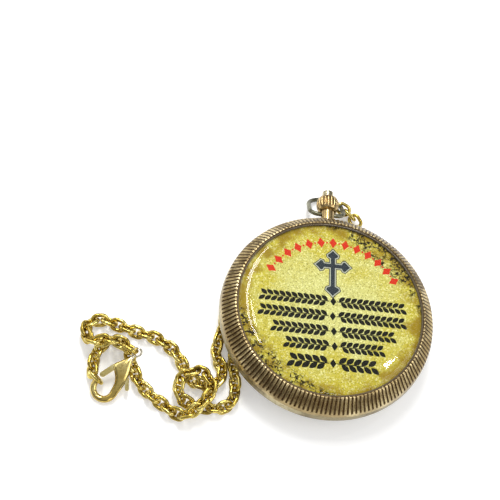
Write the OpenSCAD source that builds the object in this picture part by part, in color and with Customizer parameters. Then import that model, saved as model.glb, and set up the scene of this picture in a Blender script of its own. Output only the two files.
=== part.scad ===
// Pocket compass with a reeded lid, a push-button crown, a bow, and a curb chain with a claw clasp.
// The case lies face up. The origin is the centre of its flat foot, +Y points to the crown, +Z is up.

/* [Case] */
// Radius of the flat foot that the case stands on
foot_r = 12.5; // [11:0.1:13]
// Radius of the bowl where the lid closes on it
bowl_rim_r = 22.6; // [22.2:0.1:23]
// Height of the joint between bowl and lid
split_z = 4.3; // [4.2:0.05:4.5]
// Wall of the bowl
bowl_wall = 1.0; // [0.8:0.05:1.1]
// Height of the collar that stands up inside the lid
collar_z = 8.6; // [8.5:0.05:8.9]
// Wall of the collar
collar_wall = 1.0; // [0.8:0.05:1.1]
// Gap between the collar and the edge of the bowl
collar_step = 0.3; // [0.2:0.05:0.4]

/* [Lid] */
// Largest radius of the lid
lid_r = 25.7; // [25.5:0.05:26]
// Height of the lid's widest line
lid_waist_z = 6.2; // [6.1:0.05:6.4]
// How far the lid's edge is rounded in below its widest line
lid_round = 1.9; // [1.7:0.05:1.95]
// Height of the bezel's lip
lip_z = 12.0; // [11.8:0.05:12.2]
// Wall of the lid
lid_wall = 0.7; // [0.6:0.05:0.9]
// Thickness of the lid's inturned edge
lid_edge_t = 0.8; // [0.7:0.05:0.9]
// Gap between the lid's inturned edge and the bowl
lid_edge_gap = 0.2; // [0.18:0.01:0.3]
// Thickness of the inner cover
liner_t = 0.45; // [0.3:0.05:0.5]
// Height of the top of the inner cover
liner_z = 10.15; // [10:0.05:10.2]

/* [Bezel] */
// Radius of the seat for the crystal
seat_r = 22.1; // [22:0.05:22.4]
// Height where the bezel meets the smooth band
bezel_z = 7.9; // [7.7:0.05:8.1]
// Radius of the rounding of the bezel, seen in section
bezel_round = 5.6; // [5.5:0.05:6]
// Number of flutes round the bezel
flutes = 156; // [90:2:170]
// Radius of the tool that cuts each flute
flute_r = 0.46; // [0.3:0.02:0.5]
// Depth of a flute at its middle
flute_depth = 0.42; // [0.2:0.02:0.5]
// Angle by which the flutes lie nearer the lip than the band
flute_shift = 5.5; // [0:0.5:6]

/* [Face] */
// Thickness of the printed disc
print_t = 0.2; // [0.1:0.05:0.3]
// Width of the dark sealing ring
seal_w = 0.28; // [0.2:0.02:0.4]
// Height of the crystal's flat edge
crystal_edge = 0.8; // [0.5:0.05:0.9]
// Height of the crystal's rounded shoulder
crystal_shoulder = 0.85; // [0.6:0.05:1]
// Width of the crystal's rounded shoulder
crystal_shoulder_w = 2.6; // [2:0.1:3.4]
// Rise of the crystal's crown above its shoulder
crystal_rise = 0.5; // [0.2:0.05:0.6]

/* [Compass] */
// Outer radius of the compass pan
pan_r = 19.4; // [19.2:0.05:19.5]
// Wall of the compass pan
pan_wall = 0.7; // [0.5:0.05:0.8]
// Height of the dial's top face
dial_z = 5.4; // [5.3:0.05:5.5]
// Thickness of the dial
dial_t = 0.4; // [0.3:0.05:0.5]
// Height of the seat for the dial's glass
glass_z = 7.6; // [7.5:0.05:7.7]
// Thickness of the dial's glass
glass_t = 0.8; // [0.6:0.05:0.85]
// Length of the needle
needle_l = 31; // [26:0.5:34]
// Width of the needle at its middle
needle_w = 3.6; // [3:0.1:4.5]
// Thickness of the needle
needle_t = 0.25; // [0.2:0.05:0.3]

/* [Crown] */
// Height of the crown's axis
crown_z = 6.2; // [6.1:0.05:6.3]
// Radius of the neck
neck_r = 1.7; // [1.65:0.05:2]
// Distance from the case's centre to the end of the neck
neck_end = 28.8; // [28.6:0.1:29.2]
// Radius of the fluted barrel
barrel_r = 2.85; // [2.6:0.05:2.95]
// Length of the fluted barrel
barrel_l = 4.1; // [3.8:0.1:4.5]
// Number of flutes round the barrel
barrel_flutes = 22; // [12:1:24]
// Radius of the push-button's head
button_r = 1.4; // [1.2:0.05:1.45]
// How far the push-button stands out of the barrel
button_out = 1.95; // [1.6:0.05:2.4]
// Travel of the push-button
button_travel = 0.9; // [0.7:0.05:0.95]
// Radius of the button's stem
stem_r = 0.5; // [0.4:0.02:0.55]

/* [Hinge] */
// Distance from the case's centre to the hinge's axis
hinge_y = 23.2; // [23.1:0.05:23.3]
// Height of the hinge's axis
hinge_z = 3.4; // [3.35:0.05:3.45]
// Radius of the knuckles
knuckle_r = 0.8; // [0.75:0.01:0.82]
// Radius of the hinge's pin
hinge_pin_r = 0.38; // [0.3:0.02:0.42]
// Width of the middle knuckle
knuckle_w = 4.8; // [4:0.1:5.4]
// Width of the whole hinge
hinge_w = 12; // [11:0.2:13]

/* [Bow] */
// Radius of the bow's wire
bow_wire_r = 0.55; // [0.45:0.01:0.56]
// Radius of the bow's arch, to the middle of the wire
bow_arch_r = 4.35; // [4.2:0.05:4.6]
// Length of the bow from its pivot to the middle of its arch
bow_l = 9.7; // [9.2:0.1:10.2]
// Radius of the bend at each foot of the bow
bow_bend_r = 2.2; // [1.4:0.05:2.2]
// Distance from the end of the neck back to the bow's pivot
bow_back = 0.8; // [0.7:0.05:0.9]
// Height of the middle of the arch as the bow lies
bow_rest_z = 0.62; // [0.6:0.02:0.9]

/* [Chain] */
// Radius of the chain's wire
link_wire_r = 0.46; // [0.3:0.02:0.46]
// Radius of the round ends of a link, to the middle of the wire
link_bend_r = 1.24; // [1.2:0.02:1.4]
// Length of the straight sides of a link
link_side = 1.0; // [0.8:0.05:1.2]
// Tilt of each link about the chain's line, to one side and then the other
link_tilt = 44; // [38:1:48]
// Wanted distance from one link to the next
link_pitch = 2.3; // [2.2:0.05:2.7]

/* [Clasp] */
// Length of the clasp from the end of the hook to the end of the eye
clasp_l = 14.9; // [14:0.1:15.5]
// Thickness of the clasp's body
clasp_t = 1.7; // [1.4:0.1:2]
// Radius of the hook, to the middle of the wire
hook_r = 2.5; // [2.3:0.05:2.6]
// Radius of the hook's wire
hook_wire_r = 0.7; // [0.5:0.05:0.75]
// Radius of the eye, to the middle of the wire
eye_r = 1.0; // [0.95:0.05:1.1]
// Radius of the eye's wire
eye_wire_r = 0.2; // [0.15:0.01:0.25]
// Thickness of the clasp's gate
gate_t = 0.9; // [0.7:0.05:1]
// Radius of the gate's pin
gate_pin_r = 0.3; // [0.25:0.01:0.35]

/* [Clearances] */
// Radial clearance of a shaft in its hole
shaft_gap = 0.04; // [0.02:0.01:0.06]
// Clearance between fixed pieces that sit in each other
seat_gap = 0.05; // [0.02:0.01:0.1]
// Clearance round a moving piece
move_gap = 0.15; // [0.1:0.01:0.2]
// How far a cut runs past the face that it opens
over = 1; // [0.5:0.1:2]

/* [Hidden] */
$fn = 96;

// Colours of the pieces
case_brass = "#a08c68";
bright_brass = "#c8a552";
chain_brass = "#b39a35";
steel = "#8b8b86";
nickel = "#9a9788";

// The bowl's cone, as height at a radius outside and inside its wall
cone_slope = split_z / (bowl_rim_r - foot_r);
cone_wall_z = bowl_wall * sqrt(1 + cone_slope * cone_slope);
function cone_z(r) = cone_slope * (r - foot_r);
function cone_in_z(r) = cone_z(r) + cone_wall_z;
function cone_in_r(z) = foot_r + (z - cone_wall_z) / cone_slope;

// Radii that follow from the case's
collar_r = bowl_rim_r - collar_step;
collar_in_r = collar_r - collar_wall;
lid_edge_r = bowl_rim_r + lid_edge_gap;
lid_foot_r = lid_r - lid_round;
lid_drop = lid_waist_z - split_z;

// The bezel's section is an arc that leaves the lip and meets the smooth band at its height
lip_w = 0.5;
lip_r = seat_r + lip_w;
band_rise = lip_z - lid_waist_z;
function band_r(z) = lid_r - (lid_r - lip_r) * (1 - sqrt(1 - pow((z - lid_waist_z) / band_rise, 2)));
bezel_foot_r = band_r(bezel_z);
bezel_chord = norm([bezel_foot_r - lip_r, lip_z - bezel_z]);
bezel_bulge = sqrt(bezel_round * bezel_round - bezel_chord * bezel_chord / 4);
bezel_turn = atan2(lip_z - bezel_z, bezel_foot_r - lip_r);
bezel_c = [(lip_r + bezel_foot_r) / 2 - bezel_bulge * sin(bezel_turn),
  (lip_z + bezel_z) / 2 - bezel_bulge * cos(bezel_turn)];
bezel_sag = bezel_round - bezel_bulge;

// The lid's shell under the bezel
shell_r = lid_foot_r + lid_wall + move_gap;
shell_in_r = shell_r - lid_wall;
shell_shoulder_z = 9.3;
shell_top_z = 10.9;
shell_top_r = seat_r + lip_w;
roof_z = liner_z + seat_gap;
liner_r = shell_top_r - lid_wall;

// The face, built up from the top of the shell
print_z = shell_top_z + seat_gap;
crystal_z = print_z + print_t + seat_gap;
crystal_r = seat_r - seal_w - seat_gap;

// The compass pan, the dial and what stands on it
pan_floor_z = bowl_wall + seat_gap;
pan_floor_r = cone_in_r(bowl_wall);
pan_in_r = pan_r - pan_wall;
pan_ledge_w = 0.8;
pan_flange_r = collar_in_r - 2 * seat_gap;
pan_flange_t = 0.4;
dial_r = pan_in_r - 2 * seat_gap;
post_r = 0.8;
post_stand = 0.5;
post_z = dial_z + post_stand;
pin_r = 0.2;
pin_l = 0.75;
pin_tip_z = post_z + pin_l;
hub_r = 1.5;
hub_lift = 0.35;
hub_h = 0.85;
hub_wall = 0.3;
hub_z = post_z + hub_lift;
hub_top_z = hub_z + hub_h;
jewel_r = 0.6;
jewel_z = pin_tip_z + shaft_gap;
jewel_t = 0.3;
needle_lift = 0.1;
needle_z = hub_z + needle_lift;
glass_seat_w = 0.9;
glass_r = pan_r + glass_seat_w;
ring_lip_w = 0.6;
ring_lip_t = 0.3;

// The crown, along its axis
neck_start = collar_r - collar_wall / 2;
bow_y = neck_end - bow_back;
bow_pin_r = bow_wire_r;
bow_pin_depth = 0.6;
barrel_end = neck_end + barrel_l;
head_bore_l = 3.3;
head_bore_start = barrel_end - head_bore_l;
head_l = 0.9;
button_chamfer = 0.3;
stem_collar_r = 0.9;
stem_collar_l = 1.2;
stem_cap_l = 1.4;
stem_shoulder = neck_end - stem_cap_l;
stem_tip = collar_in_r - seat_gap;
spring_wire_r = 0.16;
spring_coils = 5;

// The catch, a lever that turns a little about its screw
catch_play = 0.1;
catch_r = collar_in_r - catch_play;
catch_t = 0.5;
catch_z = 4.95;
catch_h = 1.8;
catch_turn = 40;
catch_root = 41;
catch_tail = 96;
catch_eye_r = 0.8;
catch_pivot_r = catch_r - catch_eye_r;
catch_head_t = 0.2;
catch_seat_z = cone_in_z(catch_pivot_r) - bowl_wall / 2;
nose_hold = 0.55;
window_lead = 1.5;
window_swing = 3.5;
catch_screw_r = 0.45;
nose_from = 77.5;
nose_to = 83.4;
nose_r = lid_edge_r + nose_hold;
nose_h = 1.0;
nose_z = split_z + lid_edge_t + move_gap;

// The bow as it lies, turned down about its pivot
bow_tilt = asin((crown_z - bow_rest_z) / bow_l);

// The chain's line, from the clasp's eye over the heap, along the upper run, under the case and back,
// and along the lower run to the clasp's hook. Links lie on the floor where z is floor_z.
floor_z = 1.36;
route = [
  [-46.2, -12, 4.8], [-48.75, -11.06, 4.63], [-51.17, -11.35, 4.93], [-53.05, -11.64, 3.99],
  [-55.55, -10.01, 3.04], [-55.32, -6.36, 2], [-52.28, -4.97, floor_z], [-49.4, -5.7, floor_z],
  [-46.47, -6.53, floor_z], [-43.2, -7.4, floor_z], [-40, -8, floor_z], [-37.1, -9.4, floor_z],
  [-34.6, -11.3, floor_z], [-32.75, -14.07, floor_z], [-31.33, -16.24, floor_z],
  [-28.88, -18.59, floor_z], [-25.75, -18.64, floor_z], [-23.78, -17.09, floor_z],
  [-23.4, -14.04, floor_z], [-25.1, -11.4, floor_z], [-25, -8, floor_z], [-24, -4, floor_z],
  [-23.8, 0, floor_z], [-22.8, 6, floor_z], [-20.4, 11.8, floor_z], [-16.4, 17, floor_z],
  [-11, 21, floor_z], [-5, 23.2, floor_z], [0.6, 24.6, floor_z], [4.6, 26.2, floor_z],
  [7.8, 26.4, floor_z], [10.11, 24.53, floor_z], [10.07, 21.52, floor_z], [7.84, 19.64, floor_z],
  [4.56, 19.89, floor_z], [0, 20.6, floor_z], [-6.2, 19.8, floor_z], [-11.6, 17.2, floor_z],
  [-16, 13.2, floor_z], [-19.2, 7.8, floor_z], [-20.6, 2.2, floor_z], [-20.6, -3, floor_z],
  [-20.6, -6.6, floor_z], [-21.2, -9.8, floor_z], [-20.94, -12.99, floor_z],
  [-20.4, -16.2, floor_z], [-20.1, -19.6, floor_z], [-21.2, -22.6, floor_z], [-24, -24, floor_z],
  [-26.98, -23.77, floor_z], [-29.67, -23.58, floor_z], [-32.66, -22.21, 2.32],
  [-33.33, -19.17, 3.15], [-31.18, -16.79, 4.04], [-27.88, -16.58, 4.17], [-25.6, -19.62, 4.21],
  [-26.2, -21.79, 4.27], [-28.13, -24.32, 4.15], [-30.07, -26.21, 3.17], [-32.88, -26.38, 2],
  [-35.42, -24.71, floor_z], [-37.8, -23.2, floor_z], [-40.2, -21.4, floor_z],
  [-42.4, -19.2, floor_z], [-43.74, -16.29, floor_z], [-45, -13.6, floor_z],
  [-45.97, -10.9, floor_z], [-49.26, -9.65, floor_z], [-51.69, -11.05, floor_z],
  [-52.8, -13.8, floor_z], [-53.1, -16.6, 1.6], [-52.8, -18.9, 2]
];

// A smooth curve through the route's points, cut into equal steps
curve_steps = 24;
function blend(a, b, c, d, t) =
  0.5 * (2 * b + (c - a) * t + (2 * a - 5 * b + 4 * c - d) * t * t + (3 * b - a - 3 * c + d) * t * t * t);
route_n = len(route);
before = 2 * route[0] - route[1];
after = 2 * route[route_n - 1] - route[route_n - 2];
curve = [for (i = [0:route_n - 2], k = [0:curve_steps - 1])
  blend(i == 0 ? before : route[i - 1], route[i], route[i + 1],
    i == route_n - 2 ? after : route[i + 2], k / curve_steps)];
line = concat(curve, [route[route_n - 1]]);
steps = [for (i = [0:len(line) - 1]) i == 0 ? 0 : norm(line[i] - line[i - 1])];
run = [for (i = 0, d = 0; i < len(line); i = i + 1, d = i < len(line) ? d + steps[i] : d) d];
line_l = run[len(run) - 1];
links = round(line_l / link_pitch);
link_step = line_l / links;

// The point of the chain's line at a distance s along it
function find(s, low, high) = high - low <= 1 ? low
  : let (mid = floor((low + high) / 2)) (run[mid] <= s ? find(s, mid, high) : find(s, low, mid));
function at(s) = let (c = min(max(s, 0), line_l), i = find(c, 0, len(run) - 1))
  line[i] + (line[i + 1] - line[i]) * (c - run[i]) / (run[i + 1] - run[i]);

// Parts of the chain, as shares of its links
heap_top_share = 0.096;
upper_run_share = 0.175;
outer_way_share = 0.386;
turn_share = 0.474;
inner_way_share = 0.667;
lower_run_share = 0.904;

// The clasp lies with its hook on the floor and its body over the chain. Its own frame has the
// hook's end at the origin, +Y towards the eye, +X to the side away from the gate.
clasp_at = [-49.4, -24.4, 0.8];
clasp_turn = -24;
clasp_lean = 17.7;
hook_c = [-0.58 * hook_r, hook_r];
hook_open = 175;
hook_close = 365;
tip_l = 1.2;
tip_at = hook_c + hook_r * [cos(hook_open), sin(hook_open)];
eye_c = [0.42 * hook_r, clasp_l - hook_wire_r - eye_r - eye_wire_r];
neck_way = [0.55, 2.4];
neck_from = eye_c - neck_way;
pivot_at = eye_c - [1.25, 4.7];
knee_at = pivot_at + [-1.65, -0.55];
gate_end_at = tip_at + [0.59, 2.23];
lever_mid_at = pivot_at + [2.2, -1.7];
lever_end_at = pivot_at + [3.35, -3.65];
gate_w = 1.24;
lever_w = 0.84;
gate_eye_r = 0.95;
gate_gap = 0.05;
slot_under = 0.45;
slot_over = 1.3;
slot_low = lever_end_at[1] - slot_under;
slot_high = pivot_at[1] + slot_over;

// Notch in the lid for the neck
notch_r = neck_r + move_gap;

// A ring whose section is the polygon pts, as radius and height
module turned(pts) {
  rotate_extrude($fn = 180) polygon(pts);
}

// A sector of a ring between two angles
module ring_sector(r_in, r_out, z, h, from, to) {
  translate([0, 0, z])
    rotate([0, 0, from])
      rotate_extrude(angle = to - from)
        translate([r_in, 0]) square([r_out - r_in, h]);
}

// A round bar along +Y from y0 to y1 at the crown's height
module crown_bar(r, y0, y1) {
  translate([0, y0, crown_z]) rotate([-90, 0, 0]) cylinder(r = r, h = y1 - y0, $fn = 48);
}

// Pieces of the case

module bowl_section() {
  polygon([
    [0, 0], [foot_r, 0], [bowl_rim_r, split_z], [collar_r, split_z],
    [collar_r, collar_z], [collar_in_r, collar_z], [collar_in_r, cone_in_z(collar_in_r)],
    [pan_floor_r, bowl_wall], [0, bowl_wall]
  ]);
}

module knuckle(x0, x1) {
  translate([x0, -hinge_y, hinge_z]) rotate([0, 90, 0]) cylinder(r = knuckle_r, h = x1 - x0, $fn = 48);
}

module hinge_bore() {
  translate([-hinge_w / 2 - over, -hinge_y, hinge_z])
    rotate([0, 90, 0]) cylinder(r = hinge_pin_r + shaft_gap, h = hinge_w + 2 * over, $fn = 48);
}

// The web joins the middle knuckle to the cone
module knuckle_web() {
  web_z = hinge_z + knuckle_r - seat_gap;
  translate([-knuckle_w / 2, 0, 0]) rotate([90, 0, 90])
    linear_extrude(height = knuckle_w)
      polygon([
        [-hinge_y, web_z], [-hinge_y + knuckle_r / 2, hinge_z - knuckle_r / 2],
        [-bowl_rim_r + 2 * knuckle_r, cone_z(bowl_rim_r - 2 * knuckle_r) + bowl_wall / 2],
        [-bowl_rim_r + knuckle_r, web_z]
      ]);
}

module case_bowl() {
  color(case_brass) difference() {
    union() {
      rotate_extrude($fn = 180) bowl_section();
      knuckle(-knuckle_w / 2, knuckle_w / 2);
      knuckle_web();
    }
    hinge_bore();
    crown_bar(neck_r + seat_gap, collar_in_r - over, collar_r + over);
    ring_sector(collar_in_r - over, collar_r + over, nose_z - move_gap, nose_h + 2 * move_gap,
      nose_from - window_lead, nose_to + window_swing);
    catch_screw_hole();
  }
}

module pendant_neck() {
  color(bright_brass) difference() {
    crown_bar(neck_r, neck_start, neck_end);
    crown_bar(stem_collar_r + shaft_gap, neck_start - over, stem_shoulder);
    crown_bar(stem_r + shaft_gap, neck_start, neck_end + over);
    for (s = [-1, 1])
      translate([s * (neck_r - bow_pin_depth - seat_gap), bow_y, crown_z])
        rotate([0, s * 90, 0]) cylinder(r = bow_pin_r + shaft_gap, h = over + bow_pin_depth, $fn = 48);
  }
}

// The barrel bulges like an onion, and its flutes are cut along its length
module crown_barrel() {
  bulge = 0.85;
  edge_w = 0.9;
  edge_l = 0.65;
  flute_cut_r = 0.27;
  cut_out = 0.06;
  cut_start = 0.35;
  color(bright_brass) difference() {
    translate([0, neck_end, crown_z]) rotate([-90, 0, 0])
      rotate_extrude($fn = 72)
        intersection() {
          translate([barrel_r - barrel_l * bulge, barrel_l / 2]) circle(r = barrel_l * bulge);
          polygon([[0, 0], [barrel_r - edge_w, 0], [barrel_r, edge_l], [barrel_r, barrel_l - edge_l],
            [barrel_r - edge_w, barrel_l], [0, barrel_l]]);
        }
    crown_bar(button_r + shaft_gap, head_bore_start, barrel_end + over);
    crown_bar(stem_r + shaft_gap, neck_end - over, barrel_end);
    for (i = [0:barrel_flutes - 1])
      translate([0, neck_end + cut_start, crown_z]) rotate([-90, 0, 0])
        rotate([0, 0, i * 360 / barrel_flutes]) translate([barrel_r + cut_out, 0, 0])
          cylinder(r = flute_cut_r, h = barrel_l - 2 * cut_start, $fn = 24);
  }
}

module push_button() {
  head_start = barrel_end - head_l;
  face_start = barrel_end + button_out - button_chamfer;
  color(nickel) difference() {
    union() {
      crown_bar(button_r, head_start, face_start);
      translate([0, face_start, crown_z]) rotate([-90, 0, 0])
        cylinder(r1 = button_r, r2 = button_r - button_chamfer, h = button_chamfer, $fn = 48);
    }
    crown_bar(stem_r, head_start - over, head_start + head_l);
  }
}

module button_stem() {
  color(steel) {
    crown_bar(stem_r, stem_tip, barrel_end);
    crown_bar(stem_collar_r, stem_shoulder - stem_collar_l - seat_gap, stem_shoulder - seat_gap);
  }
}

// Turns of a small coil spring round the stem, under the button's head
module button_spring() {
  spring_r = (stem_r + button_r) / 2;
  from = head_bore_start + spring_wire_r + seat_gap;
  to = barrel_end - head_l - spring_wire_r - seat_gap;
  color(steel) for (i = [0:spring_coils - 1])
    translate([0, from + (to - from) * i / (spring_coils - 1), crown_z]) rotate([-90, 0, 0])
      rotate_extrude($fn = 36) translate([spring_r, 0]) circle(r = spring_wire_r, $fn = 16);
}

// Centre of the catch's screw
catch_pivot = [catch_pivot_r * cos(catch_turn), catch_pivot_r * sin(catch_turn), 0];

module catch_screw_hole() {
  translate(catch_pivot + [0, 0, catch_seat_z])
    cylinder(r = catch_screw_r + seat_gap, h = over + bowl_wall, $fn = 32);
}

module catch_lever() {
  color(steel) difference() {
    union() {
      ring_sector(catch_r - catch_t, catch_r, catch_z, catch_h, catch_root, catch_tail);
      ring_sector(catch_r - catch_t / 2, nose_r, nose_z, nose_h, nose_from, nose_to);
      translate(catch_pivot + [0, 0, catch_z]) cylinder(r = catch_eye_r, h = catch_h, $fn = 48);
    }
    translate(catch_pivot) cylinder(r = catch_screw_r + shaft_gap, h = lip_z, $fn = 32);
  }
}

module catch_screw() {
  head_z = catch_z + catch_h + seat_gap;
  color(steel) {
    translate(catch_pivot + [0, 0, catch_seat_z])
      cylinder(r = catch_screw_r, h = head_z - catch_seat_z, $fn = 32);
    translate(catch_pivot + [0, 0, head_z]) cylinder(r = catch_eye_r, h = catch_head_t, $fn = 32);
  }
}

// Pieces of the compass itself

module compass_pan() {
  lift = seat_gap * sqrt(1 + cone_slope * cone_slope) + seat_gap;
  in_z = function(r) cone_in_z(r) + lift + pan_wall;
  color(bright_brass) turned([
    [0, pan_floor_z], [pan_floor_r, pan_floor_z], [pan_r, cone_in_z(pan_r) + lift],
    [pan_r, glass_z - pan_flange_t], [pan_flange_r, glass_z - pan_flange_t], [pan_flange_r, glass_z],
    [pan_in_r, glass_z], [pan_in_r, dial_z - dial_t], [pan_in_r - pan_ledge_w, dial_z - dial_t],
    [pan_in_r - pan_ledge_w, in_z(pan_in_r - pan_ledge_w)], [pan_floor_r, pan_floor_z + pan_wall],
    [0, pan_floor_z + pan_wall]
  ]);
}

module dial() {
  color("#e9e2c8") translate([0, 0, dial_z - dial_t + seat_gap / 2]) difference() {
    cylinder(r = dial_r, h = dial_t - seat_gap / 2, $fn = 180);
    translate([0, 0, -over]) cylinder(r = post_r + seat_gap, h = dial_t + 2 * over);
  }
}

module pivot_post() {
  color(bright_brass) difference() {
    translate([0, 0, pan_floor_z + pan_wall])
      cylinder(r = post_r, h = post_z - pan_floor_z - pan_wall, $fn = 48);
    translate([0, 0, post_z - 2 * post_r])
      cylinder(r = pin_r + seat_gap / 2, h = 2 * post_r + over, $fn = 32);
  }
}

module pivot_pin() {
  tip = 0.35;
  color(steel) {
    translate([0, 0, post_z - 2 * post_r])
      cylinder(r = pin_r, h = pin_tip_z - tip - post_z + 2 * post_r, $fn = 32);
    translate([0, 0, pin_tip_z - tip]) cylinder(r1 = pin_r, r2 = pin_r / 5, h = tip, $fn = 32);
  }
}

// A slim rhomb with pointed ends, along Y
module needle() {
  color(steel) difference() {
    translate([0, 0, needle_z])
      linear_extrude(height = needle_t)
        polygon([[-needle_w / 2, 0], [0, -needle_l / 2], [needle_w / 2, 0], [0, needle_l / 2]]);
    translate([0, 0, needle_z - over])
      cylinder(r = jewel_r + hub_wall + seat_gap, h = needle_t + 2 * over, $fn = 48);
  }
}

module needle_hub() {
  collar = jewel_r + hub_wall;
  color(bright_brass) difference() {
    union() {
      translate([0, 0, hub_z]) cylinder(r = collar, h = hub_top_z - hub_z, $fn = 48);
      translate([0, 0, needle_z + needle_t + seat_gap / 2])
        cylinder(r1 = hub_r, r2 = collar, h = hub_top_z - needle_z - needle_t - seat_gap / 2, $fn = 48);
    }
    translate([0, 0, hub_z - over]) cylinder(r = jewel_r, h = jewel_z + jewel_t - hub_z + over, $fn = 48);
  }
}

module needle_jewel() {
  cup = 0.12;
  color("#9b2a3a") difference() {
    translate([0, 0, jewel_z - cup]) cylinder(r = jewel_r - seat_gap / 2, h = jewel_t, $fn = 48);
    translate([0, 0, jewel_z - cup - over]) cylinder(r = pin_r, h = cup + over, $fn = 32);
  }
}

module dial_glass() {
  color("#dfe9e6", 0.35) translate([0, 0, glass_z + seat_gap / 2])
    cylinder(r = glass_r, h = glass_t, $fn = 180);
}

module glass_ring() {
  ring_in = glass_r + seat_gap;
  top = glass_z + glass_t + 2 * seat_gap + ring_lip_t;
  color(bright_brass) turned([
    [ring_in, glass_z + seat_gap / 2], [pan_flange_r, glass_z + seat_gap / 2], [pan_flange_r, top - ring_lip_t],
    [pan_flange_r - ring_lip_t, top], [ring_in - ring_lip_w, top], [ring_in - ring_lip_w, top - ring_lip_t],
    [ring_in, top - ring_lip_t]
  ]);
}

// Pieces of the lid

module hinge_pin() {
  color(steel) translate([-hinge_w / 2 - seat_gap, -hinge_y, hinge_z])
    rotate([0, 90, 0]) cylinder(r = hinge_pin_r, h = hinge_w + 2 * seat_gap, $fn = 48);
}

// The neck's notch, open at the lid's edge
module neck_notch() {
  crown_bar(notch_r, collar_r, lid_r + over);
  translate([-notch_r, collar_r, split_z - over])
    cube([2 * notch_r, lid_r + over - collar_r, crown_z - split_z + over]);
}

// The smooth band below the bezel, as a quarter of an ellipse in plain points
band_steps = 8;
band_low = [for (i = [0:band_steps]) let (a = 90 * i / band_steps)
  [lid_foot_r + lid_round * sin(a), lid_waist_z - lid_drop * cos(a)]];
band_high = [for (i = [1:3]) let (z = lid_waist_z + (bezel_z - lid_waist_z) * i / 3) [band_r(z), z]];

module lid_shell() {
  web_y = knuckle_r * 0.75;
  color(case_brass) difference() {
    union() {
      turned(concat(
        [[lid_edge_r, split_z]], band_low, band_high,
        [[shell_r, bezel_z], [shell_r, shell_shoulder_z], [shell_top_r, shell_top_z], [0, shell_top_z],
         [0, roof_z], [liner_r + seat_gap, roof_z], [shell_in_r, shell_shoulder_z - lid_wall / 2],
         [shell_in_r, split_z + lid_edge_t], [lid_edge_r, split_z + lid_edge_t]]
      ));
      for (s = [-1, 1]) {
        knuckle(s > 0 ? knuckle_w / 2 + move_gap : -hinge_w / 2, s > 0 ? hinge_w / 2 : -knuckle_w / 2 - move_gap);
        translate([s > 0 ? knuckle_w / 2 + move_gap : -hinge_w / 2, -hinge_y - web_y, hinge_z])
          cube([(hinge_w - knuckle_w) / 2 - move_gap, 2 * web_y, split_z - hinge_z + lid_edge_t / 2]);
      }
    }
    hinge_bore();
    neck_notch();
  }
}

module bezel_section() {
  inner_r = shell_r + seat_gap;
  difference() {
    intersection() {
      union() {
        translate(bezel_c) circle(r = bezel_round, $fn = 160);
        translate([seat_r, bezel_z]) square([lip_w, lip_z - bezel_z]);
      }
      translate([seat_r, bezel_z]) square([lid_r, lip_z - bezel_z]);
    }
    polygon([
      [0, 0], [inner_r, 0], [inner_r, shell_shoulder_z + seat_gap],
      [shell_top_r + seat_gap, shell_top_z + seat_gap], [0, shell_top_z + seat_gap]
    ]);
  }
}

module bezel() {
  flute_turn = bezel_turn - flute_shift;
  mid = bezel_c + (bezel_round - flute_depth + flute_r) * [sin(flute_turn), cos(flute_turn)];
  cut_l = bezel_chord + 2 * over;
  color(case_brass) difference() {
    rotate_extrude($fn = 180) bezel_section();
    for (i = [0:flutes - 1])
      rotate([0, 0, (i + 0.5) * 360 / flutes])
        translate([mid[0], 0, mid[1]]) rotate([0, 90 + flute_turn, 0])
          cylinder(r = flute_r, h = cut_l, center = true, $fn = 24);
    neck_notch();
  }
}

module lid_liner() {
  color(bright_brass) translate([0, 0, liner_z - liner_t])
    cylinder(r = liner_r, h = liner_t, $fn = 180);
}

module printed_disc() {
  color("#d8cc62") translate([0, 0, print_z]) cylinder(r = seat_r - seat_gap, h = print_t, $fn = 180);
}

// A low dome: flat edge, rounded shoulder, then a shallow crown
shoulder_steps = 8;
crown_steps = 6;
crystal_flat_r = crystal_r - crystal_shoulder_w;
crystal_side_z = crystal_z + crystal_edge;
crystal_shoulder_z = crystal_side_z + crystal_shoulder;
crystal_curve = concat(
  [for (i = [0:shoulder_steps]) let (a = 90 * i / shoulder_steps)
    [crystal_flat_r + crystal_shoulder_w * cos(a), crystal_side_z + crystal_shoulder * sin(a)]],
  [for (i = [1:crown_steps]) let (f = 1 - i / crown_steps)
    [crystal_flat_r * f, crystal_shoulder_z + crystal_rise * (1 - f * f)]]
);

module crystal() {
  color("#eef2ee", 0.3) turned(concat([[0, crystal_z], [crystal_r, crystal_z]], crystal_curve));
}

module crystal_seal() {
  color("#2e2413") turned([
    [crystal_r + seat_gap / 2, crystal_z], [seat_r - seat_gap / 2, crystal_z],
    [seat_r - seat_gap / 2, lip_z - seal_w / 2], [crystal_r + seat_gap / 2, lip_z - seal_w / 2]
  ]);
}

// The bow, drawn flat with its pivot on the X axis and its arch towards +Y, then laid down
module bow_flat() {
  leg_start = bow_bend_r;
  leg_end = bow_l - bow_arch_r;
  stub_end = bow_arch_r - bow_bend_r;
  pin_in = neck_r - bow_pin_depth;
  translate([0, leg_end, 0]) rotate_extrude(angle = 180) translate([bow_arch_r, 0])
    circle(r = bow_wire_r, $fn = 32);
  for (s = [-1, 1]) {
    translate([s * bow_arch_r, leg_start, 0]) rotate([-90, 0, 0])
      cylinder(r = bow_wire_r, h = leg_end - leg_start, $fn = 32);
    translate([s * stub_end, leg_start, 0]) rotate([0, 0, s > 0 ? -90 : 180])
      rotate_extrude(angle = 90) translate([bow_bend_r, 0]) circle(r = bow_wire_r, $fn = 32);
    translate([s * pin_in, 0, 0]) rotate([0, s * 90, 0])
      cylinder(r = bow_pin_r, h = stub_end - pin_in, $fn = 32);
  }
}

module bow() {
  color(nickel) translate([0, bow_y, crown_z]) rotate([-bow_tilt, 0, 0]) bow_flat();
}

// Pieces of the chain and the clasp

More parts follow.
